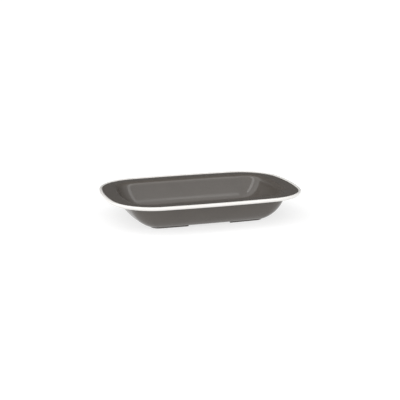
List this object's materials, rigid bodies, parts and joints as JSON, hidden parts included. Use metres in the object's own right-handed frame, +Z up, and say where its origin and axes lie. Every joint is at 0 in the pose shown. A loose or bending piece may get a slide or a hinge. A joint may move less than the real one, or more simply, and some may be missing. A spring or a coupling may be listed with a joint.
{
  "type": "oblong serving dish",
  "caption": "Shallow oblong serving dish with a wide flat flange, a rounded white rim, coved walls and low foot rails under its ends.",
  "frame": {"origin": "on the table, under the centre of the dish", "axes": "+Z up; +X along the dish's length, towards the right-hand foot rail; +Y along its width"},
  "size_m": [0.24, 0.161, 0.0362],
  "materials": {
    "shell": "gloss",
    "bead": "gloss",
    "rail": "satin"
  },
  "bodies": {
    "root": {"dish_shell": "shell", "rim_bead": "bead", "foot_rail_right": "rail", "foot_rail_left": "rail"}
  },
  "joints": []
}
